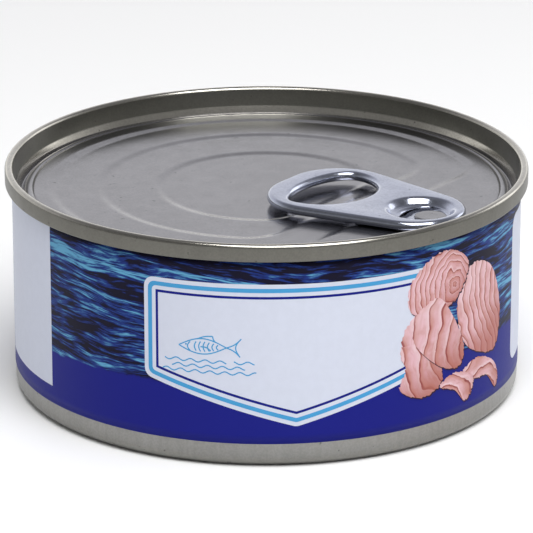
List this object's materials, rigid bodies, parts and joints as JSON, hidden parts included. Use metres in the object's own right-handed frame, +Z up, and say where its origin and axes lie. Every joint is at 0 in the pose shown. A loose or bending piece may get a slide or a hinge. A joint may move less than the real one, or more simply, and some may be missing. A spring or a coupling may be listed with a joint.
{
  "type": "tuna can",
  "caption": "Low round food can with a beaded easy-open end, a ring pull on its rivet, a double seam, a paper wrap and a bare rounded foot.",
  "frame": {"origin": "centre of the foot ring's resting plane, on the can's axis", "axes": "+Z up along the can's axis; -Y towards the label's front; the ring pull lies on the line 36 degrees from +X towards -Y"},
  "size_m": [0.0873, 0.0872, 0.0381],
  "materials": {
    "body_steel": "drawn tinplate with fine upright grain, satin",
    "end_steel": "pressed tinplate, satin",
    "pull_steel": "bright tinplate with curled edges",
    "label_paper": "gloss-coated paper printed with dark blue, water and pale panels"
  },
  "bodies": {
    "root": {"can_body": "body_steel", "can_end": "end_steel", "ring_pull": "pull_steel", "label": "label_paper"}
  },
  "joints": []
}
